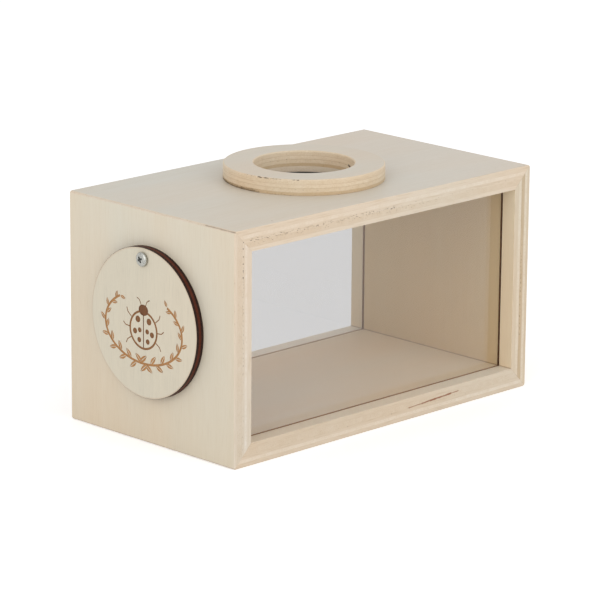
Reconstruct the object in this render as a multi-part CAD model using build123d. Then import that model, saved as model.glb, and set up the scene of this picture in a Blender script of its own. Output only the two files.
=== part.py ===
from build123d import *
import math
import os

# A bug viewer box, in millimetres: a mitred plywood case with a clear pane front and back,
# a magnifier under a ring on its top, and a round swivel door over the way in at its left end.
# X runs along the case, -Y is its front and the origin is the middle of its underside.

# Plywood case
case_length = 180.0
case_depth = 101.0
case_height = 101.0
panel_thickness = 9.7
case_corner_radius = 1.2
case_arris_radius = 0.5
mitre_overrun = 4.0

# Clear panes, let into grooves all round
pane_thickness = 2.0
pane_inset = 7.1
groove_depth = 3.0
groove_face_clearance = 0.1
groove_end_clearance = 0.2

# Plywood ring and the bore that it shares with the top panel
ring_diameter = 70.0
ring_thickness = 7.0
ring_arris = 0.4
sight_diameter = 43.5

# Lens, dropped on a ledge in the bore and held down by a rubber ring
ledge_width = 2.5
ledge_depth = 6.0
lens_focal_length = 110.0
lens_refractive_index = 1.49
lens_edge_thickness = 2.0
lens_fit_clearance = 0.15
lens_crown_clearance = 0.25
retainer_thickness = 1.6
retainer_clearance = 0.05

# Swivel door, which hangs from one screw and laps the way in behind it
door_diameter = 64.8
door_thickness = 3.8
door_arris = 0.15
door_gap = 0.2
door_rise = 3.0
door_lap = 10.0
pivot_margin = 4.8

# Pivot screw: a raised head, a plain shank in the door and a core in the end panel
screw_head_diameter = 6.2
screw_head_height = 2.0
screw_head_edge = 0.9
screw_head_gap = 0.1
screw_shank_diameter = 3.0
screw_core_diameter = 2.1
screw_point_length = 2.5
screw_tip_cover = 1.8
pivot_clearance = 0.08
pilot_clearance = 0.03
recess_length = 3.4
recess_width = 0.9
recess_depth = 1.2
recess_turn = 25.0

# Places worked out from the sizes above
case_middle = case_height / 2
inner_length = case_length - 2 * panel_thickness
inner_height = case_height - 2 * panel_thickness
pane_place = case_depth / 2 - pane_inset - pane_thickness / 2
sight_radius = sight_diameter / 2
ledge_radius = sight_radius - ledge_width
ledge_level = case_height - ledge_depth
end_face = -case_length / 2
door_radius = door_diameter / 2
door_back = end_face - door_gap
door_front = door_back - door_thickness
door_middle = case_middle + door_rise
pivot_height = door_middle + door_radius - pivot_margin
pivot_radius = screw_shank_diameter / 2 + pivot_clearance
screw_reach = panel_thickness - screw_tip_cover


def case_ring():
    """The four sides in one: a tube of plywood with its outer edges eased."""
    outline = Plane.XZ * RectangleRounded(case_length, case_height, case_corner_radius)
    block = extrude(outline, case_depth / 2, both=True)
    ends = block.faces().sort_by(Axis.Y)
    block = fillet(ends[0].edges() + ends[-1].edges(), case_arris_radius)
    return Pos(0, 0, case_middle) * (block - Box(inner_length, case_depth, inner_height))


def pane_grooves():
    """The two slots that let the panes into all four sides."""
    width = pane_thickness + 2 * groove_face_clearance
    slot = Box(inner_length + 2 * groove_depth, width, inner_height + 2 * groove_depth)
    return [Pos(0, side * pane_place, case_middle) * slot for side in (-1, 1)]


def mitre_wedge(side_length, face_distance, turn):
    """The space of one side between its two mitres, turned from the top about the case's middle."""
    outer = side_length / 2 + mitre_overrun
    inner = side_length / 2 - panel_thickness - mitre_overrun
    above = face_distance + mitre_overrun
    below = face_distance - panel_thickness - mitre_overrun
    outline = make_face(Polyline((-outer, above), (outer, above), (inner, below), (-inner, below), close=True))
    wedge = extrude(Plane.XZ * outline, case_depth, both=True)
    return Pos(0, 0, case_middle) * Rot(0, turn, 0) * wedge


def long_side(turn):
    """A top or bottom panel, grooved and mitred."""
    return (case_ring() - pane_grooves()) & mitre_wedge(case_length, case_height / 2, turn)


def end_side(turn):
    """A left or right end panel, grooved and mitred."""
    return (case_ring() - pane_grooves()) & mitre_wedge(case_height, case_length / 2, turn)


def top_panel():
    """Top, bored for the lens with a ledge left at the bottom of the bore."""
    bore = Pos(0, 0, ledge_level) * Cylinder(sight_radius, ledge_depth, align=(Align.CENTER, Align.CENTER, Align.MIN))
    through = Pos(0, 0, ledge_level) * Cylinder(ledge_radius, 2 * panel_thickness)
    return long_side(0) - bore - through


def left_end_panel():
    """Left end, cut through for the way in and drilled for the pivot screw."""
    entry_radius = door_radius - door_lap
    entry = Pos(end_face, 0, case_middle) * Rot(0, 90, 0) * Cylinder(entry_radius, 4 * panel_thickness)
    pilot_radius = screw_core_diameter / 2 + pilot_clearance
    pilot = Cylinder(pilot_radius, screw_reach, align=(Align.CENTER, Align.CENTER, Align.MIN))
    return end_side(-90) - entry - Pos(end_face, 0, pivot_height) * Rot(0, 90, 0) * pilot


def pane(side):
    """A clear sheet that fills the opening and the grooves round it."""
    spare = groove_depth - groove_end_clearance
    sheet = Box(inner_length + 2 * spare, pane_thickness, inner_height + 2 * spare)
    return Pos(0, side * pane_place, case_middle) * sheet


def lens_ring():
    """Plywood ring on the top panel, its upper edges eased."""
    ring = Cylinder(ring_diameter / 2, ring_thickness, align=(Align.CENTER, Align.CENTER, Align.MIN))
    ring -= Cylinder(sight_radius, 2 * ring_thickness)
    ring = chamfer(ring.faces().sort_by(Axis.Z)[-1].edges(), ring_arris)
    return Pos(0, 0, case_height) * ring


def magnifier_lens():
    """Biconvex lens: two like spheres cross to make its body, which stands in a flat rim."""
    surface_radius = 2 * (lens_refractive_index - 1) * lens_focal_length
    crown_radius = ledge_radius - lens_crown_clearance
    rim_radius = sight_radius - lens_fit_clearance
    centre_offset = math.sqrt(surface_radius**2 - crown_radius**2) - lens_edge_thickness / 2
    upper = Pos(0, 0, -centre_offset) * Rot(0, 90, 0) * Sphere(surface_radius)
    lower = Pos(0, 0, centre_offset) * Rot(0, -90, 0) * Sphere(surface_radius)
    body = Cylinder(crown_radius, surface_radius) & upper & lower
    rim = Cylinder(rim_radius, lens_edge_thickness)
    return Pos(0, 0, ledge_level + lens_edge_thickness / 2) * (body + rim)


def lens_retainer():
    """Square rubber ring pressed in the bore on top of the lens's rim."""
    outer_radius = sight_radius - retainer_clearance
    ring = Cylinder(outer_radius, retainer_thickness, align=(Align.CENTER, Align.CENTER, Align.MIN))
    ring -= Cylinder(outer_radius - retainer_thickness, 2 * retainer_thickness)
    return Pos(0, 0, ledge_level + lens_edge_thickness) * ring


def door_disc():
    """Round door, drilled near its top edge for the screw that it hangs from."""
    disc = Rot(0, 90, 0) * Cylinder(door_radius, door_thickness)
    disc = chamfer(disc.faces().sort_by(Axis.X)[0].edges(), door_arris)
    disc = Pos((door_front + door_back) / 2, 0, door_middle) * disc
    hole = Rot(0, 90, 0) * Cylinder(pivot_radius, 4 * door_thickness)
    return disc - Pos(door_front, 0, pivot_height) * hole


def pivot_screw():
    """Raised-head wood screw with a cross recess, turned about its own axis."""
    head_radius = screw_head_diameter / 2
    shank_radius = screw_shank_diameter / 2
    core_radius = screw_core_diameter / 2
    shank_end = screw_head_gap + door_thickness + door_gap
    tip = shank_end + screw_reach
    dome = TangentArc((-screw_head_height, 0), (-screw_head_edge, head_radius), tangent=(0, 1))
    body = Polyline(
        (-screw_head_edge, head_radius),
        (0, head_radius),
        (0, shank_radius),
        (shank_end, shank_radius),
        (shank_end, core_radius),
        (tip - screw_point_length, core_radius),
        (tip, 0),
        (-screw_head_height, 0),
    )
    screw = revolve(make_face(dome + body), Axis.X)
    slot = Box(2 * recess_depth, recess_width, recess_length)
    for turn in (recess_turn, recess_turn + 90):
        screw -= Pos(-screw_head_height, 0, 0) * Rot(turn, 0, 0) * slot
    return Pos(door_front - screw_head_gap, 0, pivot_height) * screw


pieces = {
    "top_panel": top_panel(),
    "bottom_panel": long_side(180),
    "left_end_panel": left_end_panel(),
    "right_end_panel": end_side(90),
    "front_pane": pane(-1),
    "back_pane": pane(1),
    "lens_ring": lens_ring(),
    "magnifier_lens": magnifier_lens(),
    "lens_retainer": lens_retainer(),
    "door_disc": door_disc(),
    "pivot_screw": pivot_screw(),
}

os.makedirs("parts", exist_ok=True)
for name, piece in pieces.items():
    export_step(piece, f"parts/{name}.step")
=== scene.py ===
import math
import bmesh
import bpy
from mathutils import Matrix, Vector


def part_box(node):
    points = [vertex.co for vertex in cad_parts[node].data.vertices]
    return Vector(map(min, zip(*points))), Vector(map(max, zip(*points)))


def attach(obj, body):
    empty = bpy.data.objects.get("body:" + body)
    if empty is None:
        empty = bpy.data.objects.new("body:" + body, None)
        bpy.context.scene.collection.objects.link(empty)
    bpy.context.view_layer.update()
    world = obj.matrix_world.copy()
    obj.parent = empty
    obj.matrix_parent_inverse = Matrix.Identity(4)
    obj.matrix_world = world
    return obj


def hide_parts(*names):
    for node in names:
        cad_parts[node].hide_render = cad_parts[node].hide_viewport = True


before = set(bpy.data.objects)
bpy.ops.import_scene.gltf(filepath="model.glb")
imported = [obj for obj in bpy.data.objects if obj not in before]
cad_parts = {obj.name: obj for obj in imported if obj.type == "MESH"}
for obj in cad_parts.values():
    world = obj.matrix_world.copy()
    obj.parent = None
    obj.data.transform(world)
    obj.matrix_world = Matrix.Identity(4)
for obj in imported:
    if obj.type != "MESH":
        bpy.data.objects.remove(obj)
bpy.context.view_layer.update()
mm = 0.001


# Case: four panels of pale five-ply plywood, 9.7 mm thick, mitred and glued round the corner and
# then sanded. Their veneers run round the case, so the plies show at the front and back edges.
# Each finished panel is the CAD panel with the small gaps of its core and the chips of its arrises.

sheet_thickness = 9.7 * mm
case_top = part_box("top_panel")[1].z
case_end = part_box("right_end_panel")[1].x
case_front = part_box("top_panel")[0].y
front_pane_low, front_pane_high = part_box("front_pane")
pane_place = -(front_pane_low.y + front_pane_high.y) / 2
groove_half = (front_pane_high.y - front_pane_low.y) / 2 + 0.15 * mm
face_depth = 0.04 * mm
groove_bed = 5 * mm


def tone(red, green, blue):
    """A colour read off a screen, from 0 to 255, as the light that it stands for."""
    def light(value):
        share = value / 255
        return share / 12.92 if share <= 0.04045 else ((share + 0.055) / 1.055) ** 2.4
    return (light(red), light(green), light(blue), 1)


def put(tree, kind, sockets=None, **settings):
    """One node of a tree, with its settings and what goes in its sockets."""
    made = tree.nodes.new(kind)
    for name, value in settings.items():
        setattr(made, name, value)
    wire(tree, made, sockets or {})
    return made


def wire(tree, node, sockets):
    """Links other nodes' outputs to a node's sockets, or writes plain values in them."""
    for name, value in sockets.items():
        if isinstance(value, bpy.types.NodeSocket):
            tree.links.new(value, node.inputs[name])
        else:
            node.inputs[name].default_value = value


def reckon(tree, operation, *terms, clamp=False):
    """The result of a sum, a product or a comparison in a tree."""
    made = put(tree, "ShaderNodeMath", dict(enumerate(terms)), operation=operation, use_clamp=clamp)
    return made.outputs[0]


def measure(tree, operation, *terms):
    """A length, a distance or a dot product in a tree."""
    made = put(tree, "ShaderNodeVectorMath", dict(enumerate(terms)), operation=operation)
    return made.outputs["Value"]


def vector(tree, operation, *terms):
    """The difference or the product of two vectors in a tree."""
    made = put(tree, "ShaderNodeVectorMath", dict(enumerate(terms)), operation=operation)
    return made.outputs["Vector"]


def band(tree, value, middle, half_width, fade):
    """1 where a value lies in a band, 0 outside it, with a soft edge."""
    off = reckon(tree, "ABSOLUTE", reckon(tree, "SUBTRACT", value, middle))
    past = reckon(tree, "SUBTRACT", half_width, off)
    return reckon(tree, "DIVIDE", past, fade, clamp=True)


def above(tree, value, level, fade):
    """0 below a level, 1 above it, with a soft edge."""
    return reckon(tree, "DIVIDE", reckon(tree, "SUBTRACT", value, level), fade, clamp=True)


def blend_tone(tree, share, first, second, kind="MIX"):
    """One colour laid over another by a share."""
    made = put(tree, "ShaderNodeMix", {0: share, 6: first, 7: second}, data_type="RGBA", blend_type=kind)
    return made.outputs[2]


def between(tree, share, pair):
    """The tint at a share of the way from the first of a pair to the second."""
    return blend_tone(tree, share, (*pair[0], 1), (*pair[1], 1))


def ramp(tree, share, stops, warmth=0.0):
    """Greys laid along a share from 0 to 1, given as place and grey; warmth browns the darker ones."""
    made = put(tree, "ShaderNodeValToRGB", {"Fac": share})
    stock = made.color_ramp.elements
    stock[0].position, stock[1].position = stops[0][0], stops[-1][0]
    for place, _ in stops[1:-1]:
        stock.new(place)
    for element, (_, grey) in zip(stock, stops):
        element.color = (grey ** (1 - 0.6 * warmth), grey, grey ** (1 + warmth), 1)
    return made.outputs["Color"]


def noise(tree, place, size, detail=2.0, rough=0.5):
    """Soft random values whose features are about one size across."""
    made = put(tree, "ShaderNodeTexNoise", {
        "Vector": place, "Scale": 1 / size, "Detail": detail, "Roughness": rough})
    return made.outputs["Fac"]


def stretched(tree, place, along, stretch, shift=0.0):
    """Places squeezed along one axis, so that a pattern read there is drawn out along it."""
    scale = [1 / stretch if abs(part) > 0.5 else 1.0 for part in along]
    made = put(tree, "ShaderNodeMapping", {
        "Vector": place, "Location": (shift, shift, shift), "Scale": scale})
    return made.outputs["Vector"]


def new_finish(name):
    """A new material, with its tree and its shader."""
    finish = bpy.data.materials.new(name)
    finish.use_nodes = True
    return finish, finish.node_tree, finish.node_tree.nodes["Principled BSDF"]


groove_brown = tone(116, 70, 38)


def plywood_finish(name, outward, face, sheet, grain, plies, seed, tints):
    """Bare sanded plywood, worked out from how deep a point lies in the sheet."""
    finish, tree, shader = new_finish(name)
    place = put(tree, "ShaderNodeTexCoord").outputs["Object"]
    outward, grain = Vector(outward), Vector(grain)
    cross = outward.cross(grain)

    # how deep a point lies, with plies that wave a little
    depth = reckon(tree, "SUBTRACT", face, measure(tree, "DOT_PRODUCT", place, outward))
    wave = noise(tree, stretched(tree, place, outward, 50, seed), 9 * mm, 2)
    lift = reckon(tree, "MULTIPLY", reckon(tree, "SUBTRACT", wave, 0.5), 0.4 * mm)
    share = reckon(tree, "DIVIDE", reckon(tree, "ADD", depth, lift), sheet)
    outer = reckon(tree, "LESS_THAN", depth, face_depth)
    inner = reckon(tree, "GREATER_THAN", depth, sheet - face_depth)
    edge = reckon(tree, "SUBTRACT", reckon(tree, "SUBTRACT", 1.0, outer), inner)

    # the tone of each ply, and the thin lines of glue between them, all as shares of the sheet
    fade_in, fade_out, glue, turn_fade = 0.012, 0.022, 0.008, 0.004
    steps, crossed, start = [], [], 0
    for number, (thick, grey, *way) in enumerate(plies):
        steps.append((start + min(fade_in, thick / 4), grey))
        steps.append((start + thick - min(fade_out, thick / 2), grey))
        steps.append((start + thick - glue, grey - 0.05))
        turn = way[0] if way else number % 2
        crossed += [(start + turn_fade, turn), (start + thick - turn_fade, turn)]
        start += thick
    steps[0], steps[-2:] = (0, plies[0][1]), [(1, plies[-1][1])]
    tones = ramp(tree, share, steps, 0.5)
    turned = ramp(tree, share, crossed)

    # grain, drawn out along each ply's own way; it shows more on a cut edge than on a sanded face
    long_way = stretched(tree, place, grain, 30, seed)
    short_way = stretched(tree, place, cross, 30, seed)
    fibre = put(tree, "ShaderNodeMix", {0: turned, 4: long_way, 5: short_way}, data_type="VECTOR").outputs[1]
    streaks = noise(tree, fibre, 3.5 * mm, 3, 0.55)
    pores = noise(tree, fibre, 0.35 * mm, 2, 0.6)
    broad = noise(tree, stretched(tree, place, grain, 3, seed + 3), 34 * mm, 1)
    broad = ramp(tree, broad, [(0.3, 0), (0.7, 1)])
    wood = blend_tone(tree, broad, tone(222, 204, 178), tone(218, 207, 186))
    wood = blend_tone(tree, 1.0, wood, tones, "MULTIPLY")
    strength = reckon(tree, "MULTIPLY_ADD", edge, 0.65, 0.35)
    for pattern in (ramp(tree, streaks, [(0.32, 0.95), (0.68, 1.02)], 0.6),
                    ramp(tree, pores, [(0.3, 0.84), (0.5, 1.0)], 0.5)):
        wood = blend_tone(tree, strength, wood, pattern, "MULTIPLY")

    # where the edge cuts the fibres across, it is a little paler and shows their pores as dots
    if "ends" in tints:
        facing = put(tree, "ShaderNodeTexCoord").outputs["Normal"]
        ends = [measure(tree, "DOT_PRODUCT", facing, fibres) for fibres in (grain, cross)]
        ends = [reckon(tree, "MULTIPLY", part, part) for part in ends]
        change = reckon(tree, "SUBTRACT", ends[1], ends[0])
        cut_across = reckon(tree, "MULTIPLY", edge, reckon(tree, "MULTIPLY_ADD", change, turned, ends[0]))
        dots = ramp(tree, noise(tree, place, 0.4 * mm, 3, 0.7), [(0.36, 0.84), (0.48, 1.05)], 0.6)
        wood = blend_tone(tree, cut_across, wood, dots, "MULTIPLY")

    # painted light, as tints: the outer veneer from one end of its grain to the other, lighter and cooler
    # toward the top on the end panels and greyer and cooler on the top faces, for the light and sheen from
    # above; the strips outside the panes on the inner veneer, made lighter, and on the floor cooler, for the
    # light that reaches them there; the walls of the chamber between them, made warmer for the light that
    # the wood casts back inside, and on its floor lighter and, toward the left, cooler, as a painted veil of
    # the panes' reflection; and a tint of the cut edges
    along = reckon(tree, "ADD", measure(tree, "DOT_PRODUCT", place, grain), case_end)
    along = reckon(tree, "DIVIDE", along, 2 * case_end, clamp=True)
    back_to_front = put(tree, "ShaderNodeSeparateXYZ", {0: place}).outputs["Y"]
    front = reckon(tree, "LESS_THAN", back_to_front, 0.0)
    side = reckon(tree, "ABSOLUTE", back_to_front)
    chamber = reckon(tree, "LESS_THAN", side, pane_place)
    strips = between(tree, front, tints["lip"][::-1])
    lining = blend_tone(tree, chamber, strips, between(tree, along, tints["chamber"]))
    wood = blend_tone(tree, outer, wood, between(tree, along, tints["skin"]), "MULTIPLY")
    wood = blend_tone(tree, inner, wood, lining, "MULTIPLY")
    wood = blend_tone(tree, edge, wood, (*tints["edge"], 1), "MULTIPLY")

    # the walls of the pane grooves, behind the panes' edges, are a darker brown
    groove = band(tree, side, pane_place, groove_half, 0.02 * mm)
    buried = reckon(tree, "MULTIPLY", reckon(tree, "LESS_THAN", depth, sheet - face_depth),
                    reckon(tree, "GREATER_THAN", depth, groove_bed))
    front_groove, back_groove = tints.get("groove", [groove_brown] * 2)
    groove_colour = blend_tone(tree, front, back_groove, front_groove)
    wood = blend_tone(tree, reckon(tree, "MULTIPLY", groove, buried), wood, groove_colour)

    # a fine line of glue where two panels meet at their mitre, and a darker one in the inner corner
    if "reach" in tints:
        mitre = vector(tree, "SUBTRACT", place, (0, 0, case_top / 2))
        mitre = reckon(tree, "ABSOLUTE", measure(tree, "DOT_PRODUCT", mitre, grain))
        off = reckon(tree, "SUBTRACT", tints["reach"], reckon(tree, "ADD", mitre, depth))
        seam = reckon(tree, "SUBTRACT", 1.0, above(tree, off, 0.06 * mm, 0.1 * mm))
        fine = ramp(tree, noise(tree, place, 5 * mm, 3, 0.7), [(0.4, 0.0), (0.65, 0.35)])
        wood = blend_tone(tree, reckon(tree, "MULTIPLY", seam, fine), wood, tone(128, 92, 60))
        corner = reckon(tree, "SUBTRACT", 1.0, above(tree, off, 0.25 * mm, 0.2 * mm))
        corner = reckon(tree, "MULTIPLY", reckon(tree, "MULTIPLY", corner, inner), 0.42)
        wood = blend_tone(tree, corner, wood, tone(124, 82, 44))

    # gaps in the core and chips are painted darker inside, as shade in these small hollows
    gap = put(tree, "ShaderNodeAttribute", attribute_name="gap").outputs["Fac"]
    wood = blend_tone(tree, reckon(tree, "MULTIPLY", gap, 0.85), wood, tone(70, 48, 30))
    for mark in tints.get("marks", []):
        wood = stain_and_shade(tree, place, wood, *mark)

    relief = reckon(tree, "MULTIPLY_ADD", edge, 0.3, 0.03)
    bump = put(tree, "ShaderNodeBump", {"Height": pores, "Strength": relief, "Distance": 0.04 * mm})
    wire(tree, shader, {"Base Color": wood, "Roughness": 0.5, "Normal": bump.outputs["Normal"]})
    return finish


def stain_and_shade(tree, place, wood, start, end, width, colour, strength):
    """A stain, a knot or a painted shade: wood tinted round a line between two points, given in millimetres.
    """
    start, end = Vector(start) * mm, Vector(end) * mm
    way = (end - start).normalized()
    length = (end - start).length
    off = vector(tree, "SUBTRACT", place, start)
    run = reckon(tree, "MAXIMUM", measure(tree, "DOT_PRODUCT", off, way), 0.0)
    run = reckon(tree, "MINIMUM", run, length)
    line = put(tree, "ShaderNodeVectorMath", {0: way, "Scale": run}, operation="SCALE").outputs["Vector"]
    away = measure(tree, "DISTANCE", off, line)
    ragged = noise(tree, stretched(tree, place, way, 4), 0.8 * mm, 3, 0.6)
    ragged = reckon(tree, "MULTIPLY", ragged, width * mm)
    near = reckon(tree, "SUBTRACT", width * mm, reckon(tree, "ADD", away, ragged))
    mask = reckon(tree, "DIVIDE", near, 0.35 * width * mm, clamp=True)
    return blend_tone(tree, reckon(tree, "MULTIPLY", mask, strength), wood, colour)


def cut_in_strips(form, way, spacing):
    """Splits the faces of a form by level planes, so that what is cut into them later stays clean."""
    reach = max(abs(vert.co.dot(way)) for vert in form.verts)
    beside = 0.0013 * spacing  # keeps the planes off the edges that are there already
    for step in range(-int(reach / spacing), int(reach / spacing) + 1):
        whole = list(form.verts) + list(form.edges) + list(form.faces)
        level = way * (step * spacing + beside)
        bmesh.ops.bisect_plane(form, geom=whole, dist=1e-7, plane_co=level, plane_no=way)


def whole_faces(mesh, *strips):
    """Joins a mesh's triangles to whole faces, and then cuts these in strips where asked."""
    form = bmesh.new()
    form.from_mesh(mesh)
    bmesh.ops.remove_doubles(form, verts=form.verts, dist=0.0005 * mm)
    bmesh.ops.dissolve_limit(form, angle_limit=math.radians(0.5), verts=form.verts, edges=form.edges)
    for way, spacing in strips:
        cut_in_strips(form, way, spacing)
    form.to_mesh(mesh)
    form.free()


def bare_copy(node, name, *strips):
    """A copy of a CAD piece with whole faces, cut in strips where asked."""
    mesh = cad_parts[node].data.copy()
    mesh.name = name
    mesh.materials.clear()
    if "custom_normal" in mesh.attributes:
        mesh.attributes.remove(mesh.attributes["custom_normal"])
    whole_faces(mesh, *strips)
    return place_mesh(mesh, name)


def place_mesh(mesh, name):
    """Puts a mesh in the scene as a piece at the origin."""
    piece = bpy.data.objects.new(name, mesh)
    bpy.context.scene.collection.objects.link(piece)
    return piece


def open_tree(name, dials):
    """A new tree for a modifier, with a geometry in, a geometry out and named dials between."""
    tree = bpy.data.node_groups.new(name, "GeometryNodeTree")
    tree.interface.new_socket(name="Geometry", in_out="INPUT", socket_type="NodeSocketGeometry")
    for dial, kind in dials.items():
        tree.interface.new_socket(name=dial, in_out="INPUT", socket_type=f"NodeSocket{kind}")
    tree.interface.new_socket(name="Geometry", in_out="OUTPUT", socket_type="NodeSocketGeometry")
    given = tree.nodes.new("NodeGroupInput").outputs
    return tree, given, tree.nodes.new("NodeGroupOutput").inputs["Geometry"]


def work(piece, tree, **dials):
    """Runs a tree on a piece, each dial set by its own identifier, and keeps the plain mesh."""
    step = piece.modifiers.new(tree.name, "NODES")
    step.node_group = tree
    given = [item for item in tree.interface.items_tree if item.in_out == "INPUT"]
    names = {item.name.lower(): item.identifier for item in given}
    for dial, value in dials.items():
        step[names[dial]] = value
    piece.update_tag()
    bpy.context.view_layer.update()
    result = bpy.data.meshes.new_from_object(piece.evaluated_get(bpy.context.evaluated_depsgraph_get()))
    piece.modifiers.remove(step)
    result.materials.clear()
    result.materials.append(dials["finish"])
    result.polygons.foreach_set("material_index", [0] * len(result.polygons))
    piece.data = result


def work_along(piece, tree, points, closed=False, **dials):
    """Runs a tree on a piece along a line through points, and takes the line away again."""
    mesh = bpy.data.meshes.new("path")
    spans = len(points) if closed else len(points) - 1
    mesh.from_pydata(points, [(place, (place + 1) % len(points)) for place in range(spans)], [])
    path = place_mesh(mesh, "path")
    work(piece, tree, path=path, **dials)
    bpy.data.objects.remove(path)


def shape_of(tree, thing):
    """The shape of an object that a tree is given."""
    return put(tree, "GeometryNodeObjectInfo", {"Object": thing}).outputs["Geometry"]


def line_of(tree, given):
    """The path that a tree is given, as a curve."""
    return put(tree, "GeometryNodeMeshToCurve", {"Mesh": shape_of(tree, given["Path"])}).outputs["Curve"]


def marked(tree, shape, name, value):
    """A shape whose faces carry a value, which tells the material what was cut by it."""
    return put(tree, "GeometryNodeStoreNamedAttribute", {"Geometry": shape, "Name": name, "Value": value},
               data_type="FLOAT", domain="FACE").outputs["Geometry"]


def random_vector(tree, seed, low, high):
    """A random vector between two others for each point."""
    return put(tree, "FunctionNodeRandomValue", {"Min": low, "Max": high, "Seed": seed},
               data_type="FLOAT_VECTOR").outputs["Value"]


def close_tree(tree, given, result, solid, tool):
    """The end of a tree: the tool is cut out of the solid, which is made real and gets its finish."""
    cut = put(tree, "GeometryNodeMeshBoolean", {"Mesh 1": solid, "Mesh 2": tool},
              operation="DIFFERENCE", solver="MANIFOLD").outputs["Mesh"]
    whole = put(tree, "GeometryNodeRealizeInstances", {"Geometry": cut}).outputs["Geometry"]
    done = put(tree, "GeometryNodeSetMaterial", {"Geometry": whole, "Material": given["Finish"]})
    tree.links.new(done.outputs["Geometry"], result)
    return tree


def pit_tree():
    """Small hollows cut along a path: gaps in the core, or chips out of an arris."""
    tree, given, result = open_tree("pits", {
        "Path": "Object", "Count": "Int", "Size": "Vector", "Scatter": "Vector", "Dark": "Float",
        "Seed": "Int", "Finish": "Material"})
    points = put(tree, "GeometryNodeCurveToPoints", {
        "Curve": line_of(tree, given), "Count": given["Count"]}, mode="COUNT").outputs["Points"]
    stray = random_vector(tree, given["Seed"], (-1, -1, -1), (1, 1, 1))
    shift = vector(tree, "MULTIPLY", stray, given["Scatter"])
    moved = put(tree, "GeometryNodeSetPosition", {"Geometry": points, "Offset": shift}).outputs["Geometry"]
    ball = put(tree, "GeometryNodeMeshIcoSphere", {"Radius": 1.0, "Subdivisions": 2}).outputs["Mesh"]
    grown = random_vector(tree, reckon(tree, "ADD", given["Seed"], 1.0), (0.25, 0.4, 0.4), (1, 1, 1))
    balls = put(tree, "GeometryNodeInstanceOnPoints", {
        "Points": moved, "Instance": marked(tree, ball, "gap", given["Dark"]),
        "Scale": vector(tree, "MULTIPLY", grown, given["Size"])}).outputs["Instances"]
    return close_tree(tree, given, result, given["Geometry"], balls)


def clean_shade(piece, angle=32):
    """Smooth over rounded edges, sharp at corners, and flat faces left flat."""
    form = bmesh.new()
    form.from_mesh(piece.data)
    marks = [layer for layer in form.faces.layers.float if layer.name in ("gap", "burn")]
    sharp = math.radians(angle)
    for face in form.faces:
        face.smooth = True
    for edge in form.edges:
        if len(edge.link_faces) == 2:
            first, second = edge.link_faces
            alike = all(first[mark] == second[mark] for mark in marks)
            edge.smooth = alike and edge.calc_face_angle() < sharp
    form.to_mesh(piece.data)
    form.free()
    even = piece.modifiers.new("even shading", "WEIGHTED_NORMAL")
    even.keep_sharp = True
    even.weight = 100


pits = pit_tree()
# painted light: the strips outside the panes a little lighter, the chamber walls a little warmer
plain_lip = [(1.1, 1.1, 1.1)] * 2
plain_chamber = [(1.05, 1.0, 0.95)] * 2
glue_mark = (-89.65, -50.6, 100.65), (-89.65, -33, 100.65), 0.78, tone(108, 88, 66), 0.55

# each panel's way out, how far out its face lies, its grain, its plies from the outside in, each
# with its share of the sheet and its grey, and the tints of its faces, pair by pair, most of which
# paint light on its outer face, on the strips outside the panes and on the chamber walls
panels = {
    "top_panel": ((0, 0, 1), case_top, (1, 0, 0), [
        (0.24, 0.97), (0.16, 1.04), (0.18, 0.94), (0.23, 0.9), (0.19, 0.975)], {
        "skin": [(0.9, 0.975, 1.1), (0.935, 0.99, 1.12)], "lip": plain_lip,
        "chamber": plain_chamber, "edge": (1, 1, 1.05),
        "marks": [glue_mark, ((-65.5, -47, 101), (-65.3, -46.6, 101), 0.7, tone(150, 116, 84), 0.8)]}),
    "bottom_panel": ((0, 0, -1), 0.0, (1, 0, 0), [
        (0.2, 0.92), (0.16, 1.05), (0.16, 0.92), (0.25, 0.915), (0.23, 0.92)], {
        "skin": [(1, 1, 1)] * 2, "lip": [(1.22, 1.27, 1.4), (1.26, 1.35, 1.58)],
        "chamber": [(1.29, 1.36, 1.6), (1.25, 1.24, 1.26)], "edge": (1, 1, 1.05),
        "groove": [tone(170, 125, 90), tone(200, 165, 130)],
        "marks": [((14.5, -50.5, 5.25), (46, -50.5, 6.6), 0.6, tone(142, 84, 48), 0.8),
                  ((23, -50.5, 5.5), (41, -50.5, 6.4), 1.1, tone(136, 78, 42), 0.75)]}),
    "left_end_panel": ((-1, 0, 0), case_end, (0, 0, 1), [
        (0.165, 0.98), (0.28, 0.915), (0.155, 0.955), (0.145, 1.08), (0.255, 0.975)], {
        "skin": [(0.95, 0.91, 0.87), (1.0, 1.05, 1.11)], "lip": plain_lip,
        "chamber": plain_chamber, "edge": (1, 1, 1.06), "marks": [glue_mark]}),
    "right_end_panel": ((1, 0, 0), case_end, (0, 0, 1), [
        (0.175, 0.86), (0.165, 1.0), (0.215, 0.72), (0.185, 1.0), (0.26, 0.89)], {
        "skin": [(0.98, 0.98, 0.98), (1.0, 1.04, 1.08)], "lip": [(1.35, 1.36, 1.36), (1.18, 1.21, 1.23)],
        "chamber": [(1.08, 1.03, 0.89)] * 2, "edge": (1, 1, 1.03),
        "groove": [groove_brown, tone(190, 148, 112)]}),
}

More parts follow.
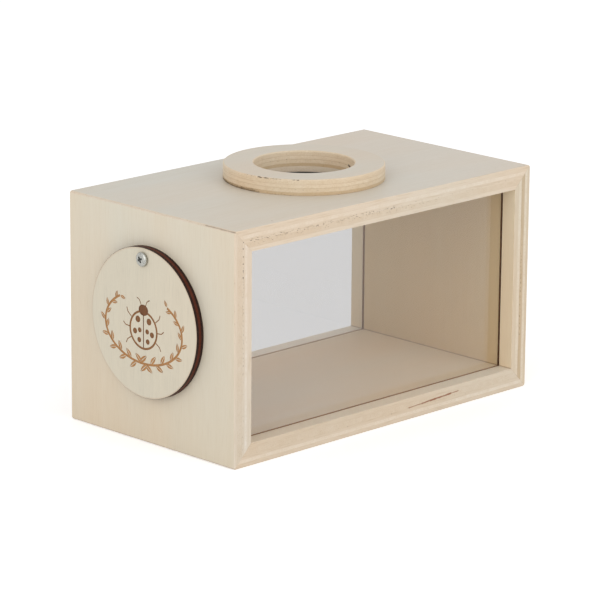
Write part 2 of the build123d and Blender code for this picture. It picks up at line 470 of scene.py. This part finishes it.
# where the core is open: the run along the grain, the depth, its spread, how many, how thick and
# how dark they are painted, for the shade in them, and the same for the chips along the outer arrises
open_core = {
    "top_panel": [
        ((-82, 5), 4.9, 0.6, 110, 0.16, 0.55), ((-82, 30), 6.2, 0.8, 90, 0.14, 0.4),
        ((5, 80), 5.0, 0.4, 22, 0.13, 0.5), ((2, 3.5), 5.2, 0.1, 2, 0.28, 0.9)],
    "bottom_panel": [((-80, 80), 4.6, 0.5, 36, 0.12, 0.45)],
    "left_end_panel": [
        ((40, 86), 4.9, 0.3, 44, 0.14, 0.6), ((78, 96), 4.8, 0.1, 7, 0.24, 0.95),
        ((8, 40), 4.9, 0.3, 12, 0.12, 0.5)],
    "right_end_panel": [((24, 60), 4.7, 0.2, 30, 0.15, 0.75), ((10, 90), 4.8, 0.4, 24, 0.12, 0.5)],
}
arris_chips = 0.1, 0.1, 14, 0.16, 0.2
middle = Vector((0, 0, case_top / 2))
for seed, (node, (outward, face, grain, plies, tints)) in enumerate(panels.items()):
    outward, grain = Vector(outward), Vector(grain)
    across = Vector(abs(part) for part in outward)
    along = Vector(abs(part) for part in grain)
    reach = case_end if along.x > 0.5 else case_top / 2
    rise = case_end if across.x > 0.5 else case_top / 2
    finish = plywood_finish(f"{node}_wood", outward, face, sheet_thickness, grain, plies, seed,
                            {**tints, "reach": reach})
    panel = bare_copy(node, f"{node}_finished", (grain, 6 * mm))
    for side in (-1, 1):
        whole_run = (-reach / mm + 6, reach / mm - 6) if along.x > 0.5 else (6, 95)
        rows = [*open_core[node], (whole_run, *arris_chips)]
        for number, (run, deep, spread, count, thick, dark) in enumerate(rows):
            base = Vector((0, side * case_front, 0)) + across * middle + outward * (rise - deep * mm)
            size = Vector((thick, thick + 0.2, thick)) * mm + along * 1.4 * thick * mm
            scatter = (along * 0.02 * abs(run[1] - run[0]) + across * spread) * mm
            work_along(panel, pits, [base + along * place * mm for place in run], count=count, size=size,
                       scatter=scatter, dark=dark, seed=20 * seed + 3 * number + side, finish=finish)
    clean_shade(panel)
    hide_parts(node)
    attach(panel, "case")


# Panes: two sheets of 2 mm clear acrylic, one behind the front edges and one before the back edges.
# They are sawn square with the sharp edges broken, and slid in the grooves before the case is glued.

def clear_finish(name, tint, bend):
    """Polished clear plastic that bends the view and lets the light of lamps straight through."""
    finish, tree, shader = new_finish(name)
    wire(tree, shader, {"Base Color": tint, "Transmission Weight": 1, "IOR": bend, "Roughness": 0})
    rays = put(tree, "ShaderNodeLightPath").outputs
    through = put(tree, "ShaderNodeBsdfTransparent", {"Color": (0.91, 0.905, 0.895, 1)}).outputs[0]
    lit = shader.outputs[0]
    for kind in ("Is Diffuse Ray", "Is Shadow Ray"):
        lit = put(tree, "ShaderNodeMixShader", {0: rays[kind], 1: lit, 2: through}).outputs[0]
    wire(tree, tree.nodes["Material Output"], {"Surface": lit})
    return finish


def settle(piece):
    """Works a piece's modifiers into its mesh."""
    result = bpy.data.meshes.new_from_object(piece.evaluated_get(bpy.context.evaluated_depsgraph_get()))
    piece.modifiers.clear()
    piece.data = result


acrylic_bend = 1.49
acrylic = clear_finish("clear_acrylic", (0.935, 0.93, 0.92, 1), acrylic_bend)
for node in ("front_pane", "back_pane"):
    pane = bare_copy(node, f"{node}_sheet")
    broken = pane.modifiers.new("broken edges", "BEVEL")
    broken.width = 0.15 * mm
    broken.segments = 2
    settle(pane)
    pane.data.materials.append(acrylic)
    clean_shade(pane)
    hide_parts(node)
    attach(pane, "case")


# Magnifier: a clear lens moulded with a flat rim, which lies on the ledge in the bore of the top
# panel. A ring of black rubber is pressed in on top of the rim and holds it down.

def eased(corners):
    """An outline given as corners of radius, height and rounding, with its rounds worked out."""
    steps = 5
    outline = []
    for number, (radius, height, rounding) in enumerate(corners):
        corner = Vector((radius, height))
        back = (Vector(corners[number - 1][:2]) - corner).normalized()
        ahead = (Vector(corners[(number + 1) % len(corners)][:2]) - corner).normalized()
        if rounding == 0:
            outline.append(tuple(corner))
            continue
        half = back.angle(ahead) / 2
        centre = corner + (back + ahead).normalized() * rounding / math.sin(half)
        start = (corner + back * rounding / math.tan(half) - centre).normalized()
        end = (corner + ahead * rounding / math.tan(half) - centre).normalized()
        for step in range(steps + 1):
            outline.append(tuple(centre + rounding * start.slerp(end, step / steps)))
    return outline


def turned(name, outline, steps=192):
    """Lathe work: a closed outline of radius and height swept once round the Z axis."""
    form = bmesh.new()
    angles = [2 * math.pi * step / steps for step in range(steps)]
    rows = []
    for radius, height in outline:
        if radius < 1e-9:
            rows.append([form.verts.new((0, 0, height))] * steps)
            continue
        rows.append([form.verts.new((radius * math.cos(a), radius * math.sin(a), height)) for a in angles])
    for first, second in zip(rows, rows[1:] + rows[:1]):
        for step in range(steps):
            ahead = (step + 1) % steps
            corners = dict.fromkeys([first[step], first[ahead], second[ahead], second[step]])
            if len(corners) > 2:
                form.faces.new(list(corners))
    return place_form(form, name)


def place_form(form, name):
    """Turns a form's faces outwards and puts it in the scene as a piece."""
    bmesh.ops.recalc_face_normals(form, faces=form.faces)
    mesh = bpy.data.meshes.new(name)
    form.to_mesh(mesh)
    form.free()
    return place_mesh(mesh, name)


lens_low, lens_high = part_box("magnifier_lens")
rim_radius = lens_high.x
rim_half = 1.0 * mm
crown_radius = 19.0 * mm
lens_middle = (lens_low.z + lens_high.z) / 2
crown_rise = (lens_high.z - lens_low.z) / 2 - rim_half
curve_radius = (crown_radius**2 + crown_rise**2) / (2 * crown_rise)


def crown(side):
    """One face of the lens, from its middle out to the flat rim."""
    steps = 40
    points = []
    for step in range(steps + 1):
        radius = crown_radius * step / steps
        sag = curve_radius - math.sqrt(curve_radius**2 - radius**2)
        points.append((radius, lens_middle + side * (rim_half + crown_rise - sag)))
    return points


rim_round = 0.2 * mm
rim = eased([
    (rim_radius, lens_middle - rim_half, rim_round), (rim_radius, lens_middle + rim_half, rim_round),
    (crown_radius, lens_middle + rim_half, 0), (crown_radius, lens_middle - rim_half, 0)])[:-2]
lens = turned("magnifier_lens_clear", crown(-1) + rim + crown(1)[::-1], 160)
lens.data.materials.append(clear_finish("clear_lens", (0.98, 0.985, 0.985, 1), acrylic_bend))
clean_shade(lens)
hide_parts("magnifier_lens")
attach(lens, "case")

rubber_low, rubber_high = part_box("lens_retainer")
rubber_width = 1.6 * mm
rubber_inner = rubber_high.x - rubber_width
rubber, tree, shader = new_finish("rubber_black")
place = put(tree, "ShaderNodeTexCoord").outputs["Object"]
dust = noise(tree, place, 0.8 * mm, 4, 0.7)
dusty = blend_tone(tree, ramp(tree, dust, [(0.5, 0), (0.8, 0.35)]), tone(30, 27, 25), tone(92, 84, 74))
wire(tree, shader, {"Base Color": dusty, "Roughness": ramp(tree, dust, [(0.3, 0.5), (0.7, 0.75)])})
retainer = turned("lens_retainer_rubber", eased([
    (rubber_inner, rubber_low.z, 0.35 * mm), (rubber_high.x, rubber_low.z, 0.2 * mm),
    (rubber_high.x, rubber_high.z, 0.35 * mm), (rubber_inner, rubber_high.z, 0.6 * mm)]))
retainer.data.materials.append(rubber)
clean_shade(retainer)
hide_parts("lens_retainer")
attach(retainer, "case")


# Ring: a washer of 7 mm plywood, cut with a hole saw and glued over the bore. Its edge shows the
# plies all round, each with end grain where the saw has crossed its fibres.

ring_low, ring_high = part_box("lens_ring")
ring_radius = ring_high.x
sight_radius = 21.75 * mm
ring_sheet = ring_high.z - ring_low.z
ring_round = 0.75 * mm
ring = turned("lens_ring_finished", eased([
    (sight_radius, ring_low.z, 0), (ring_radius, ring_low.z, 0.15 * mm),
    (ring_radius, ring_high.z, ring_round), (sight_radius, ring_high.z, ring_round)]), 256)
foot_radius, foot_height = 35, 101.5
foot_turns = [math.radians(turn) for turn in (140, 152, 164, 176, 188)]
foot = [(foot_radius * math.cos(turn), foot_radius * math.sin(turn), foot_height) for turn in foot_turns]
# painted contact shade: a soft dark line along the ring's foot, just above where it stands on the top panel
foot_shade = [(start, end, 1.1, tone(112, 92, 66), 0.55) for start, end in zip(foot, foot[1:])]
knot = (20.68, -6.72, 104.2), (20.17, -8.15, 103.6), 1.3, tone(58, 34, 20), 0.95
# the ring's plies from the top down; the last two are darker, partly their own tone and partly painted shade
# toward the foot
ring_plies = [(0.3, 1.0, 0), (0.03, 0.9, 0), (0.2, 1.03, 1), (0.04, 0.86, 1), (0.22, 0.97, 0),
              (0.05, 0.76, 0), (0.16, 0.74, 1)]
# the ring's top face is painted greyer and cooler, for the sheen of the light from above
ring_tints = {
    "skin": [(0.89, 0.92, 0.99)] * 2, "lip": [(1, 1, 1)] * 2, "chamber": [(1, 1, 1)] * 2,
    "edge": (1.0, 0.95, 0.9), "ends": True, "marks": [knot, *foot_shade]}
ring_finish = plywood_finish(
    "lens_ring_wood", (0, 0, 1), ring_high.z, ring_sheet, (1, 0, 0), ring_plies, 7, ring_tints)

# gaps in the core, outside and in the hole, then tear-outs on the top rim and along the foot: the
# radius, how far down, where they start and end, how many, how thick, their spread and how dark
# they are painted, for the shade in them
ring_marks = [
    (ring_radius, 4.4, 0, 360, 70, 0.14, 0.35, 0.6),
    (sight_radius, 4.0, 0, 360, 34, 0.16, 0.35, 0.7),
    (ring_radius, 0.25, 180, 188, 7, 0.26, 0.1, 0.5),
    (ring_radius, 0.25, 191, 194, 4, 0.4, 0.12, 0.85),
    (ring_radius, 0.25, 196, 199, 4, 0.36, 0.12, 0.8),
    (ring_radius, 0.25, 201, 208, 7, 0.28, 0.1, 0.7),
    (ring_radius, 0.25, 217, 221, 4, 0.38, 0.12, 0.8),
    (ring_radius, 0.2, 225, 330, 9, 0.16, 0.1, 0.3),
    (ring_radius, 6.2, 138, 192, 110, 0.2, 0.4, 0.7),
    (ring_radius, 6.75, 138, 192, 80, 0.24, 0.15, 0.85),
    (ring_radius, 6.7, 192, 340, 70, 0.16, 0.2, 0.6)]
for seed, (radius, deep, start, end, count, thick, spread, dark) in enumerate(ring_marks):
    angles = [math.radians(start + (end - start) * step / 96) for step in range(97)]
    way_round = [(radius * math.cos(a), radius * math.sin(a), ring_high.z - deep * mm) for a in angles]
    work_along(ring, pits, way_round, count=count, size=Vector((2, 2, 0.8)) * thick * mm,
               scatter=Vector((0.1, 0.1, spread)) * mm, dark=dark, seed=40 + seed, finish=ring_finish)
clean_shade(ring)
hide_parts("lens_ring")
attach(ring, "case")


# Swivel door: a disc of 4 mm plywood, cut out by laser, so its edge is charred dark brown. A sprig
# wreath and a ladybird are burnt into its face, and it hangs from one screw near its top edge.

door_low, door_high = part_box("door_disc")
door_radius = door_high.y
door_middle = (door_low.z + door_high.z) / 2
door_sheet = door_high.x - door_low.x
screw_low, screw_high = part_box("pivot_screw")
pivot_height = (screw_low.z + screw_high.z) / 2
on_face = Matrix.Translation((door_low.x, 0, 0)) @ Matrix.Rotation(math.radians(-90), 4, "Y")


def door_finish():
    """Sanded veneer with charred edges, and brown where the laser has burnt lines in it."""
    finish, tree, shader = new_finish("door_disc_wood")
    place = put(tree, "ShaderNodeTexCoord").outputs["Object"]
    drawn = stretched(tree, place, (0, 0, 1), 30, 11)
    streaks = noise(tree, drawn, 4 * mm, 3, 0.55)
    pores = noise(tree, drawn, 0.35 * mm, 2, 0.6)
    broad = noise(tree, stretched(tree, place, (0, 0, 1), 3, 5), 30 * mm, 1)
    broad = ramp(tree, broad, [(0.3, 0), (0.7, 1)])
    wood = blend_tone(tree, broad, tone(218, 207, 186), tone(214, 206, 187))
    wood = blend_tone(tree, 1.0, wood, ramp(tree, streaks, [(0.3, 0.965), (0.7, 1.0)]), "MULTIPLY")
    wood = blend_tone(tree, 1.0, wood, ramp(tree, pores, [(0.3, 0.9), (0.48, 1.0)]), "MULTIPLY")

    # the charred edge, and the scorch that it leaves on the face beside it
    from_middle = vector(tree, "SUBTRACT", place, (0, 0, door_middle))
    radius = measure(tree, "LENGTH", vector(tree, "MULTIPLY", from_middle, (0, 1, 1)))
    scorch = above(tree, radius, door_radius - 0.9 * mm, 0.9 * mm)
    wood = blend_tone(tree, reckon(tree, "MULTIPLY", scorch, 0.35), wood, tone(176, 128, 84))
    out = put(tree, "ShaderNodeSeparateXYZ", {0: place}).outputs["X"]
    depth = reckon(tree, "SUBTRACT", out, door_low.x)
    char = noise(tree, stretched(tree, place, (1, 0, 0), 8, 2), 1.2 * mm, 4, 0.65)
    layer = reckon(tree, "ABSOLUTE", reckon(tree, "SUBTRACT", depth, door_sheet / 2))
    core = reckon(tree, "LESS_THAN", layer, door_sheet / 6)
    charred = blend_tone(tree, core, tone(40, 17, 9), tone(88, 35, 16))
    charred = blend_tone(tree, 1.0, charred, ramp(tree, char, [(0.3, 0.7), (0.7, 1.15)]), "MULTIPLY")
    edge = above(tree, radius, door_radius - 0.2 * mm, 0.02 * mm)
    inside = reckon(tree, "MULTIPLY", reckon(tree, "GREATER_THAN", depth, face_depth),
                    reckon(tree, "LESS_THAN", depth, door_sheet - face_depth))
    wood = blend_tone(tree, reckon(tree, "MULTIPLY", edge, inside), wood, charred)
    burn = put(tree, "ShaderNodeAttribute", attribute_name="burn").outputs["Fac"]
    brown = blend_tone(tree, burn, tone(190, 140, 88), tone(100, 58, 32))
    brown = blend_tone(tree, 1.0, brown, ramp(tree, pores, [(0.3, 0.75), (0.6, 1.05)]), "MULTIPLY")
    wood = blend_tone(tree, reckon(tree, "GREATER_THAN", burn, 0.05), wood, brown)
    bump = put(tree, "ShaderNodeBump", {"Height": pores, "Strength": 0.25, "Distance": 0.05 * mm})
    wire(tree, shader, {"Base Color": wood, "Roughness": 0.55, "Specular IOR Level": 0.25,
                        "Normal": bump.outputs["Normal"]})
    return finish


def line_tree():
    """A line of even width burnt in along a path that lies on a face."""
    tree, given, result = open_tree("burnt line", {
        "Path": "Object", "Width": "Float", "Depth": "Float", "Burn": "Float", "Finish": "Material"})
    upright = put(tree, "GeometryNodeSetCurveNormal", {
        "Curve": line_of(tree, given), "Normal": (1, 0, 0)}, mode="FREE")
    bar = put(tree, "GeometryNodeCurvePrimitiveQuadrilateral", {
        "Width": reckon(tree, "MULTIPLY", given["Depth"], 2.0), "Height": given["Width"]}).outputs["Curve"]
    swept = put(tree, "GeometryNodeCurveToMesh", {
        "Curve": upright.outputs["Curve"], "Profile Curve": bar, "Fill Caps": True}).outputs["Mesh"]
    return close_tree(tree, given, result, given["Geometry"], marked(tree, swept, "burn", given["Burn"]))


door_arris = 0.15 * mm
disc = turned("door_disc_finished", [
    (0, 0), (door_radius - door_arris, 0), (door_radius, -door_arris), (door_radius, -door_sheet),
    (0, -door_sheet)], 256)
disc.data.transform(Matrix.Translation((0, 0, door_middle)) @ on_face)
whole_faces(disc.data, (Vector((0, 1, 0)), 4 * mm), (Vector((0, 0, 1)), 4 * mm))
door_wood = door_finish()
lines = line_tree()


def on_door(across, up):
    """A point on the door's face, by how far it lies to the right of its middle and above it."""
    return (door_low.x, -across * mm, door_middle + up * mm)


hole_radius = 1.58 * mm
hole = turned("hole", [(0, -door_sheet), (hole_radius, -door_sheet), (hole_radius, 2 * door_sheet),
                       (0, 2 * door_sheet)], 64)
to_hole = Matrix.Translation((door_low.x, 0, pivot_height)) @ Matrix.Rotation(math.radians(90), 4, "Y")
hole.data.transform(to_hole)
drill = disc.modifiers.new("pivot hole", "BOOLEAN")
drill.operation = "DIFFERENCE"
drill.solver = "MANIFOLD"
drill.object = hole
settle(disc)
bpy.data.objects.remove(hole)


def closed_skin(form, rows):
    """Faces over rows of points: sides from each row to the next, and a cap at both ends."""
    for first, second in zip(rows, rows[1:]):
        for step in range(len(first)):
            ahead = (step + 1) % len(first)
            form.faces.new((first[step], first[ahead], second[ahead], second[step]))
    form.faces.new(rows[0])
    form.faces.new(rows[-1])


def burnt_tree():
    """Sinks the shape of another object into a face and marks how dark its floor is burnt."""
    tree, given, result = open_tree("burnt shape", {
        "Shape": "Object", "Burn": "Float", "Finish": "Material"})
    shape = marked(tree, shape_of(tree, given["Shape"]), "burn", given["Burn"])
    return close_tree(tree, given, result, given["Geometry"], shape)


def leaf_tree():
    """Leaves burnt in along a stem, to its left and right by turns and smaller toward its tip."""
    tree, given, result = open_tree("leaves", {
        "Path": "Object", "Leaf": "Object", "Count": "Int", "Size": "Float", "Lean": "Float",
        "Burn": "Float", "Seed": "Int", "Finish": "Material"})
    points = put(tree, "GeometryNodeCurveToPoints", {
        "Curve": line_of(tree, given), "Count": given["Count"]}, mode="COUNT").outputs
    number = put(tree, "GeometryNodeInputIndex").outputs["Index"]
    share = reckon(tree, "DIVIDE", number, given["Count"])
    hand = reckon(tree, "MULTIPLY_ADD", reckon(tree, "MODULO", number, 2.0), 2.0, -1.0)
    sway = put(tree, "FunctionNodeRandomValue", {
        2: 0.85, 3: 1.15, "Seed": given["Seed"]}, data_type="FLOAT")
    lean = reckon(tree, "MULTIPLY", hand, reckon(tree, "MULTIPLY", given["Lean"], sway.outputs[1]))
    way = put(tree, "FunctionNodeAlignRotationToVector", {"Vector": points["Tangent"]}, axis="Y").outputs[0]
    way = put(tree, "FunctionNodeAlignRotationToVector", {"Rotation": way, "Vector": (1.0, 0.0, 0.0)},
              axis="X", pivot_axis="Y").outputs[0]
    lean = put(tree, "ShaderNodeCombineXYZ", {"X": lean}).outputs[0]
    way = put(tree, "FunctionNodeRotateRotation", {"Rotation": way, "Rotate By": lean},
              rotation_space="LOCAL").outputs[0]
    size = reckon(tree, "MULTIPLY", given["Size"], reckon(tree, "MULTIPLY_ADD", share, -0.4, 1.0))
    grown = put(tree, "ShaderNodeCombineXYZ", {"X": 1.0, "Y": size, "Z": size}).outputs[0]
    leaf = marked(tree, shape_of(tree, given["Leaf"]), "burn", given["Burn"])
    leaves = put(tree, "GeometryNodeInstanceOnPoints", {
        "Points": points["Points"], "Instance": leaf, "Rotation": way, "Scale": grown}).outputs["Instances"]
    return close_tree(tree, given, result, given["Geometry"], leaves)


def burn_line(points, width, depth, burn, closed=False):
    """Burns one line in, through points on the door's face."""
    work_along(disc, lines, points, closed, width=width * mm, depth=depth * mm, burn=burn, finish=door_wood)


def burn_shape(outlines, depth, burn):
    """Burns flat areas in, each an upright prism sunk in the face, from outlines in door millimetres."""
    form = bmesh.new()
    for outline in outlines:
        rows = [[form.verts.new(Vector(on_door(*point)) - Vector((level * mm, 0, 0))) for point in outline]
                for level in (-depth, depth)]
        closed_skin(form, rows)
    shape = place_form(form, "shape")
    work(disc, shapes, shape=shape, burn=burn, finish=door_wood)
    bpy.data.objects.remove(shape)


def oval(across, up, wide, high, steps=28, start=0, end=360):
    """An oval, or a part of one, round a point on the door."""
    last = steps + 1 if end - start < 360 else steps
    turns = [math.radians(start + (end - start) * step / steps) for step in range(last)]
    return [(across + wide * math.cos(a), up + high * math.sin(a)) for a in turns]


shapes = burnt_tree()
leaves = leaf_tree()
half_leaf = [(0.09, 0.35), (0.36, 0.7), (0.62, 1.2), (0.74, 1.8), (0.68, 2.4), (0.44, 3.1), (0.09, 3.8)]
form = bmesh.new()
for side in (-1, 1):
    rows = [[form.verts.new((level * mm, up * mm, side * across * mm)) for across, up in half_leaf]
            for level in (-0.13, 0.13)]
    closed_skin(form, rows)
leaf = place_form(form, "leaf")

# the wreath: two sprigs that rise from the bottom, each a stem with leaves on both sides
for side in (-1, 1):
    stem = [on_door(side * x, y) for x, y in oval(0, -2.5, 23.5, 15.0, 72, -96, 52)]
    work_along(disc, leaves, stem, leaf=leaf, count=16, size=1.5, lean=0.7, burn=0.12, seed=3 + side,
               finish=door_wood)
    burn_line(stem, 1.0, 0.19, 0.2)

# the ladybird: a round back with a parting and spots, a dark head, feelers and six legs
burn_line([on_door(*point) for point in oval(0, -3.0, 8.2, 8.0, 64)], 0.95, 0.17, 0.6, closed=True)
burn_line([on_door(0, 4.6), on_door(0, -10.9)], 0.5, 0.2, 0.8)
burn_shape([oval(0, 5.6, 2.9, 2.4)], 0.22, 0.9)
for x, y, size in ((3.4, 1.2, 1.45), (5.2, -4.2, 1.25), (2.6, -7.6, 1.15), (2.3, -3.3, 1.1)):
    burn_shape([oval(way * x, y, size, size, 20) for way in (-1, 1)], 0.14, 0.75)
for side in (-1, 1):
    burn_line([on_door(side * x, y) for x, y in oval(4.2, 7.0, 2.8, 3.4, 14, 178, 95)], 0.4, 0.14, 0.6)
    for leg in (((7.4, 1.6), (9.6, 3.4), (10.2, 5.2)), ((8.5, -2.8), (11.0, -2.6), (12.4, -1.4)),
                ((7.6, -7.2), (9.8, -8.6), (10.6, -10.2))):
        burn_line([on_door(side * x, y) for x, y in leg], 0.45, 0.13, 0.6)
bpy.data.objects.remove(leaf)
clean_shade(disc)
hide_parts("door_disc")
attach(disc, "door")


# Pivot screw: a small raised-head wood screw of zinc-plated steel with a cross recess. The door turns
# on its plain shank, and its thread is rolled on and bites in the end panel.

screw_radius = screw_high.y
head_back = door_low.x - 0.1 * mm
shank_radius = 1.5 * mm
root_radius = 0.8 * mm
thread_pitch = 1.2 * mm
head_edge = 0.95 * mm
head_crown = 1.05 * mm
recess_turn = 25

dome = []
for step in range(9):
    turn = math.radians(90 * step / 8)
    dome.append((screw_radius * math.sin(turn), head_edge + head_crown * math.cos(turn)))
shaft = [
    (screw_radius, 0.25 * mm), (screw_radius - 0.15 * mm, 0), (shank_radius + 0.2 * mm, 0),
    (shank_radius, -0.2 * mm), (shank_radius, -3.9 * mm), (root_radius, -4.5 * mm),
    (root_radius, -9.6 * mm), (0, head_back - screw_high.x)]
screw = turned("pivot_screw_zinc", dome + shaft, 96)


def recess():
    """The cross that a driver fits: a plus shape that narrows toward its bottom."""
    form = bmesh.new()
    rows = []
    for level, reach, half in ((0.7, 0.6, 0.24), (1.2, 0.95, 0.32), (1.8, 1.35, 0.44), (3.2, 1.8, 0.58)):
        arm = [(half, half), (half, reach), (-half, reach)]
        corners = []
        for _ in range(4):
            corners += arm
            arm = [(-y, x) for x, y in arm]
        rows.append([form.verts.new((x * mm, y * mm, level * mm)) for x, y in corners])
    closed_skin(form, rows)
    return place_form(form, "recess")


def thread_tree():
    """A ridge wound round the shaft as a spiral and joined to it, then the driver's recess cut."""
    tree, given, result = open_tree("thread", {
        "Turns": "Float", "Pitch": "Float", "Radius": "Float", "Ridge": "Float", "Start": "Float",
        "Recess": "Object", "Finish": "Material"})
    spiral = put(tree, "GeometryNodeCurveSpiral", {
        "Resolution": 40, "Rotations": given["Turns"], "Start Radius": given["Radius"],
        "End Radius": given["Radius"], "Height": reckon(tree, "MULTIPLY", given["Turns"], given["Pitch"])})
    share = put(tree, "GeometryNodeSplineParameter").outputs["Factor"]
    ends = reckon(tree, "MULTIPLY", share, reckon(tree, "SUBTRACT", 1.0, share))
    ends = reckon(tree, "MULTIPLY", ends, 14.0, clamp=True)
    faded = put(tree, "GeometryNodeSetCurveRadius", {
        "Curve": spiral.outputs["Curve"], "Radius": reckon(tree, "MULTIPLY_ADD", ends, 0.9, 0.1)})
    ridge = put(tree, "GeometryNodeCurvePrimitiveCircle", {"Resolution": 3, "Radius": given["Ridge"]})
    wound = put(tree, "GeometryNodeCurveToMesh", {
        "Curve": faded.outputs["Curve"], "Profile Curve": ridge.outputs["Curve"], "Fill Caps": True})
    start = put(tree, "ShaderNodeCombineXYZ", {"Z": given["Start"]}).outputs[0]
    laid = put(tree, "GeometryNodeTransform", {"Geometry": wound.outputs["Mesh"], "Translation": start})
    joined = put(tree, "GeometryNodeMeshBoolean", {"Mesh 2": given["Geometry"]},
                 operation="UNION", solver="MANIFOLD")
    tree.links.new(laid.outputs["Geometry"], joined.inputs["Mesh 2"])
    cross = marked(tree, shape_of(tree, given["Recess"]), "gap", 1.0)
    return close_tree(tree, given, result, joined.outputs["Mesh"], cross)


zinc, tree, shader = new_finish("zinc_bright")
place = put(tree, "ShaderNodeTexCoord").outputs["Object"]
worn = noise(tree, place, 0.5 * mm, 4, 0.6)
plate = blend_tone(tree, ramp(tree, worn, [(0.35, 0), (0.65, 1)]), tone(152, 152, 147), tone(192, 192, 185))
# the driver's cross recess is painted darker, as shade in it
recess_shade = put(tree, "ShaderNodeAttribute", attribute_name="gap").outputs["Fac"]
plate = blend_tone(tree, reckon(tree, "MULTIPLY", recess_shade, 0.8), plate, tone(66, 68, 68))
worn = ramp(tree, worn, [(0.3, 0.24), (0.7, 0.36)])
wire(tree, shader, {"Base Color": plate, "Metallic": 1, "Roughness": worn})
driver = recess()
driver.data.transform(Matrix.Rotation(math.radians(recess_turn), 4, "Z"))
work(screw, thread_tree(), turns=4.5, pitch=thread_pitch, radius=root_radius + 0.02 * mm, ridge=0.22 * mm,
     start=-10.2 * mm, recess=driver, finish=zinc)
bpy.data.objects.remove(driver)
to_screw = Matrix.Translation((head_back, 0, pivot_height)) @ Matrix.Rotation(math.radians(-90), 4, "Y")
screw.data.transform(to_screw)
clean_shade(screw, 40)
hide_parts("pivot_screw")
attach(screw, "case")


# Studio: a pale floor that glows a little, a white room and two soft lamps, and a camera that looks
# at the box from the photograph's angle. None of it is part of the object.

view_aim = Vector((-1.673, 0.157, 46.505)) * mm
view_distance = 1541.87 * mm
view_azimuth, view_elevation, view_roll = -45.046, 15.013, 0.458
view_focal = 212.766
view_sensor = 36
floor_half = 5.0
behind_glass = (0.725, 0.735, 0.76, 1)

camera_data = bpy.data.cameras.new("camera")
camera_data.sensor_width = view_sensor
camera_data.lens = view_focal
camera_data.clip_start = 0.05
camera = bpy.data.objects.new("camera", camera_data)
turn = Matrix.Rotation(math.radians(view_azimuth), 4, "Z")
tilt = Matrix.Rotation(math.radians(90 - view_elevation), 4, "X")
roll = Matrix.Rotation(math.radians(view_roll), 4, "Z")
away = Matrix.Translation((0, 0, view_distance))
camera.matrix_world = Matrix.Translation(view_aim) @ turn @ tilt @ roll @ away
bpy.context.scene.collection.objects.link(camera)
bpy.context.scene.camera = camera
bpy.context.scene.view_settings.view_transform = "Standard"

floor_mesh = bpy.data.meshes.new("floor")
floor_mesh.from_pydata([(x, y, 0) for x, y in ((-1, -1), (1, -1), (1, 1), (-1, 1))], [], [(0, 1, 2, 3)])
floor_mesh.transform(Matrix.Scale(floor_half, 4))
floor = place_mesh(floor_mesh, "floor")
floor_paper, tree, _ = new_finish("floor_paper")
tree.nodes.clear()
rays = put(tree, "ShaderNodeLightPath").outputs
matt = put(tree, "ShaderNodeBsdfDiffuse", {"Color": (0.9, 0.9, 0.9, 1)}).outputs[0]
seen = reckon(tree, "MAXIMUM", rays["Is Camera Ray"], rays["Is Glossy Ray"])
glow = reckon(tree, "MULTIPLY", seen, 0.35)
glow = put(tree, "ShaderNodeEmission", {"Color": (1, 1, 1, 1), "Strength": glow}).outputs[0]
paper = put(tree, "ShaderNodeAddShader", {0: matt, 1: glow}).outputs[0]
grey = put(tree, "ShaderNodeEmission", {"Color": behind_glass, "Strength": 1.0}).outputs[0]
shown = put(tree, "ShaderNodeMixShader", {0: rays["Is Transmission Ray"], 1: paper, 2: grey}).outputs[0]
put(tree, "ShaderNodeOutputMaterial", {"Surface": shown})
floor_mesh.materials.append(floor_paper)

world = bpy.data.worlds.new("room")
bpy.context.scene.world = world
world.use_nodes = True
tree = world.node_tree
tree.nodes.clear()
rays = put(tree, "ShaderNodeLightPath").outputs
plain = reckon(tree, "MAXIMUM", rays["Is Camera Ray"], rays["Is Glossy Ray"])
lit = put(tree, "ShaderNodeBackground", {"Color": (1, 1, 1, 1), "Strength": 0.715}).outputs[0]
white = put(tree, "ShaderNodeBackground", {"Color": (1, 1, 1, 1), "Strength": 1.0}).outputs[0]
grey = put(tree, "ShaderNodeBackground", {"Color": behind_glass, "Strength": 1.0}).outputs[0]
sky = put(tree, "ShaderNodeMixShader", {0: plain, 1: lit, 2: white}).outputs[0]
sky = put(tree, "ShaderNodeMixShader", {0: rays["Is Transmission Ray"], 1: sky, 2: grey}).outputs[0]
put(tree, "ShaderNodeOutputWorld", {"Surface": sky})


def lamp(name, place, size, power):
    """A square soft lamp that faces the box."""
    data = bpy.data.lights.new(name, "AREA")
    data.shape = "SQUARE"
    data.size = size
    data.energy = power
    made = bpy.data.objects.new(name, data)
    aim = (Vector((0, 0, 0.05)) - Vector(place)).to_track_quat("-Z", "Y")
    made.matrix_world = Matrix.Translation(place) @ aim.to_matrix().to_4x4()
    bpy.context.scene.collection.objects.link(made)


lamp("lamp left", (-1.5, -0.4, 0.7), 1.2, 7.2)
lamp("lamp front", (0.3, -1.5, 0.7), 1.2, 7.2)
